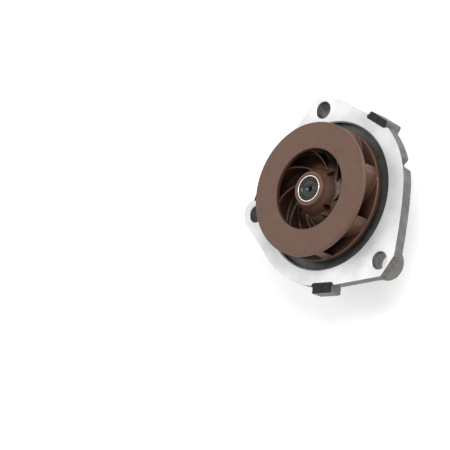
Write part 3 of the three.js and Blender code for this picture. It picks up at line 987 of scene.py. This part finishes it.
def build_shaft(looks):
    corners = [
        (0, 0.4, 0),
        (1.4, 0.4, 0.2),
        (2.4, 0, 0),
        (SHAFT_R, 0, 0.7),
        *raceway(ROWS["rear"][0], 212.6, 147.4),
        *raceway(ROWS["front"][0], 212.6, 147.4),
        (SHAFT_R, STEP_Z, 0.7),
        (NOSE_R, STEP_Z, 0.2),
        (NOSE_R, NOSE_END_Z, 0.6),
        (4.9, NOSE_END_Z, 0.2),
        (4.4, NOSE_END_Z - 0.5, 0.2),
        (2.5, NOSE_END_Z - 0.5, 0.1),
        (2.3, NOSE_END_Z - 0.3, 0.1),
        (1.9, NOSE_END_Z - 0.3, 0.1),
        (0.8, NOSE_END_Z - 1.1, 0.1),
        (0.7, NOSE_END_Z - 2.2, 0),
        (0, NOSE_END_Z - 2.2, 0),
    ]
    shaft = turned("shaft", corners, 96)
    finished(shaft, "rotor", ["pump_shaft"], [looks["shaft"]])


def round_pieces():
    """Name, body, slot, look, CAD node and filleted section of each of the other turned pieces."""
    low, high, cup = BEARING_BOTTOM, BEARING_TOP, SEAL_BORE_R - GAP
    slinger, boot = BEARING_TOP + 0.4, FACE_Z
    seal_faces = [("bearing_seal_rear", 8.0, 9.0), ("bearing_seal_front", 23.9, 24.9)]
    yield "bearing_sleeve", "housing", "bearing_steel", "bearing", "bearing_outer_ring", [
        (BEARING_R, low, 0.7),
        (BEARING_R, high, 0.7),
        (BEARING_WALL_R, high, 0.2),
        *raceway(ROWS["front"][0], 32.6, -32.6),
        *raceway(ROWS["rear"][0], 32.6, -32.6),
        (BEARING_WALL_R, low, 0.2),
    ]
    for node, bottom, top in seal_faces:
        yield node + "_lip", "housing", "black_rubber", "rubber", node, [
            (BEARING_WALL_R - GAP, bottom, 0.2),
            (BEARING_WALL_R - GAP, top, 0.2),
            (11.2, top, 0.2),
            (10.8, top - 0.25, 0.1),
            (9.2, top, 0.2),
            (SHAFT_R + GAP, (bottom + top) / 2, 0.05),
            (9.2, bottom, 0.2),
            (10.8, bottom + 0.25, 0.1),
            (11.2, bottom, 0.2),
        ]
    yield "seal_can", "housing", "stainless", "stainless", "seal_cup", [
        (10.5, SEAL_BORE_Z + 0.2, 0.1),
        (cup, SEAL_BORE_Z + 0.2, 0.8),
        (cup, RECESS_Z + GAP, 0.1),
        (18.6, RECESS_Z + GAP, 0.2),
        (18.6, RECESS_Z + 1.1, 0.2),
        (cup - 0.9, RECESS_Z + 1.1, 0.5),
        (cup - 0.9, SEAL_BORE_Z + 1, 0.3),
        (10.5, SEAL_BORE_Z + 1, 0.1),
    ]
    foot = SEAL_BORE_Z + 1.3
    yield "seal_gaiter", "housing", "black_rubber", "rubber", "seal_bellows", [
        (9.6, foot, 0.1),
        (12.6, foot, 0.2),
        (12.6, foot + 0.6, 0.2),
        (11.4, foot + 1, 0.2),
        (12.4, foot + 1.5, 0.1),
        (12.4, foot + 1.9, 0.1),
        (9.6, foot + 1.9, 0.1),
    ]
    face = SEAL_BORE_Z + 3.4
    yield "seal_face_ring", "housing", "carbon", "carbon", "seal_carbon_ring", [
        (9.4, face, 0.1),
        (12.8, face, 0.1),
        (12.8, face + 0.9, 0.1),
        (12, face + 0.9, 0.1),
        (12, face + 1.8, 0.05),
        (10, face + 1.8, 0.05),
        (10, face + 1.2, 0.1),
        (9.4, face + 1.2, 0.1),
    ]
    yield "slinger_disc", "rotor", "nylon", "nylon", "water_slinger", [
        (SHAFT_R + GAP, slinger, 0.1),
        (10.4, slinger, 0.2),
        (12.2, slinger + 0.4, 0.1),
        (12.2, slinger + 0.9, 0.1),
        (10.2, slinger + 0.6, 0.2),
        (SHAFT_R + GAP, slinger + 0.8, 0.1),
    ]
    yield "seal_seat", "rotor", "ceramic", "ceramic", "seal_mating_ring", [
        (SHAFT_R + GAP, boot - 0.4, 0.1),
        (12.3, boot - 0.4, 0.15),
        (12.3, boot + 2.2, 0.15),
        (SHAFT_R + GAP, boot + 2.2, 0.1),
    ]
    yield "seal_seat_boot", "rotor", "black_rubber", "rubber", "seal_ring_boot", [
        (12.6, boot - 0.2, 0.1),
        (13.3, boot - 0.2, 0.1),
        (13.3, boot + 3.2, 0.3),
        (SHAFT_R + GAP, boot + 3.2, 0.1),
        (SHAFT_R + GAP, boot + 2.5, 0.1),
        (12.6, boot + 2.5, 0.1),
    ]


def build_spring(looks):
    """A round wire wound up the seal: sections of points, joined by faces."""
    steps, sides = 120, 12
    verts, faces = [], []
    for i in range(steps + 1):
        t = i / steps
        turn = SPRING_TURNS * 2 * math.pi * t
        for k in range(sides):
            side = 2 * math.pi * k / sides
            r = SPRING_R + SPRING_WIRE_R * math.cos(side)
            z = SEAL_BORE_Z + 1.6 + SPRING_RISE * t + SPRING_WIRE_R * math.sin(side)
            verts.append((r * math.cos(turn), r * math.sin(turn), z))
    for i in range(steps):
        for k in range(sides):
            m = (k + 1) % sides
            faces.append((i * sides + k, i * sides + m, (i + 1) * sides + m, (i + 1) * sides + k))
    faces += [list(range(sides)), list(range(steps * sides, (steps + 1) * sides))]
    spring = mesh_object("seal_coil", verts, faces)
    finished(spring, "housing", ["seal_spring"], [looks["stainless"]])


def round_ball(name, x, y, z, radius):
    mesh = bpy.data.meshes.new(name)
    bm = bmesh.new()
    bmesh.ops.create_icosphere(bm, subdivisions=4, radius=radius * MM)
    bm.to_mesh(mesh)
    bm.free()
    obj = bpy.data.objects.new(name, mesh)
    bpy.context.scene.collection.objects.link(obj)
    return placed(obj, x, y, z)


def ball_places(row_z):
    """Each ball's number and centre."""
    for i in range(BALLS):
        angle = 2 * math.pi * i / BALLS
        yield i + 1, PITCH_R * math.cos(angle), PITCH_R * math.sin(angle), row_z


def build_ball_row(side, looks):
    row_z, open_side = ROWS[side]
    body = side + "_ball_row"
    low, high = sorted((row_z - 3.2 * open_side, row_z + 1.4 * open_side))
    section = [(9.3, low, 0.2), (11.5, low, 0.2), (11.5, high, 0.2), (9.3, high, 0.2)]
    cage = turned("cage_" + side, section, 128)
    pockets = [round_ball("pocket", x, y, z, BALL_R + 0.35) for _, x, y, z in ball_places(row_z)]
    combined(cage, "DIFFERENCE", pockets)
    finished(cage, body, ["ball_cage_" + side], [looks["nylon"]])
    for number, x, y, z in ball_places(row_z):
        ball = round_ball(f"race_ball_{side}_{number}", x, y, z, BALL_R)
        finished(ball, body, [f"ball_{side}_{number}"], [looks["bearing"]], 60)


# ---- studio ----

CAMERA_AZIMUTH = -27.9
CAMERA_ELEVATION = 45.8
CAMERA_ROLL = -70.4
CAMERA_DISTANCE = 1004.43
CAMERA_AIM = (-41.77, -13.04, 62.98)
FLOOR_HALF = 4000


def aim_matrix(back, roll=0.0):
    """Axes of a camera or light whose back faces along a direction."""
    side = Vector((0, 0, 1)).cross(back).normalized()
    up = back.cross(side)
    right = side * math.cos(roll) + up * math.sin(roll)
    top = back.cross(right)
    return Matrix((right, top, back)).transposed().to_4x4()


def direction(azimuth, elevation):
    """A unit vector from two angles in degrees."""
    a, e = math.radians(azimuth), math.radians(elevation)
    return Vector((math.cos(a) * math.cos(e), math.sin(a) * math.cos(e), math.sin(e)))


def build_camera():
    data = bpy.data.cameras.new("camera")
    data.lens = 160
    data.sensor_width = 36
    data.clip_start, data.clip_end = 0.05, 50
    camera = bpy.data.objects.new("camera", data)
    bpy.context.scene.collection.objects.link(camera)
    back = direction(CAMERA_AZIMUTH, CAMERA_ELEVATION)
    spot = Vector(CAMERA_AIM) * MM + back * CAMERA_DISTANCE * MM
    camera.matrix_world = Matrix.Translation(spot) @ aim_matrix(back, math.radians(CAMERA_ROLL))
    bpy.context.scene.camera = camera


def soft_light(name, azimuth, elevation, distance, size, power):
    """A round soft box that faces the pump. Distance and size are in metres, power in watts."""
    data = bpy.data.lights.new(name, "AREA")
    data.shape = "DISK"
    data.size = size
    data.energy = power
    light = bpy.data.objects.new(name, data)
    bpy.context.scene.collection.objects.link(light)
    back = direction(azimuth, elevation)
    light.matrix_world = Matrix.Translation(back * distance) @ aim_matrix(back)


def build_floor():
    far = FLOOR_HALF
    corners = [(-far, -far, 0), (far, -far, 0), (far, far, 0), (-far, far, 0)]
    floor = mesh_object("floor", corners, [(0, 1, 2, 3)])
    n = Nodes("floor_paper", roughness=0.9, specular=0.1)
    n.colour(n.colours(n.noise(30, 3), (0.3, grey(0.66)), (0.7, grey(0.69))))
    n.shader.inputs["Emission Color"].default_value = (1, 1, 1, 1)
    n.shader.inputs["Emission Strength"].default_value = 0.48
    floor.data.materials.append(n.material)


def build_studio():
    build_floor()
    world = bpy.data.worlds.new("studio")
    bpy.context.scene.world = world
    world.use_nodes = True
    sky = world.node_tree.nodes["Background"]
    sky.inputs["Color"].default_value = (1, 1, 1, 1)
    sky.inputs["Strength"].default_value = 0.75
    soft_light("key", azimuth=22, elevation=49, distance=2.5, size=1.3, power=38)
    soft_light("face_glow", azimuth=150, elevation=50, distance=2.0, size=1.0, power=2.8)
    bpy.context.scene.view_settings.view_transform = "Standard"


def build_looks():
    return {
        "cast": cast_aluminium(),
        "face": machined_face(),
        "turned": turned_aluminium(),
        "drilled": drilled_bore(),
        "dark": dark_casting(),
        "rough": rough_casting(),
        # Each plastic takes its own amounts of painted edge highlight and of painted shade in the
        # eye.
        "plastic": brown_plastic("brown_shroud", edge_highlight=0.4, roughness=0.34, eye_shade=0),
        "blades": brown_plastic("brown_impeller", edge_highlight=0.16, roughness=0.38, eye_shade=0.5),
        "shaft": shaft_steel(),
        "insert": insert_metal(),
        "sintered": sintered_steel(),
        "bearing": bearing_steel(),
        "stainless": stainless(),
        "rubber": black_rubber(),
        "carbon": carbon(),
        "ceramic": ceramic(),
        "nylon": nylon(),
    }


def build_pump():
    looks = build_looks()
    build_housing(looks)
    build_impeller(looks)
    build_shroud(looks)
    build_insert(looks)
    build_pulley(looks)
    build_shaft(looks)
    for name, body, slot, look, node, section in round_pieces():
        finished(turned(name, section, 96), body, [node], [looks[look]])
    build_spring(looks)
    for side in ROWS:
        build_ball_row(side, looks)


build_camera()
build_pump()
build_studio()
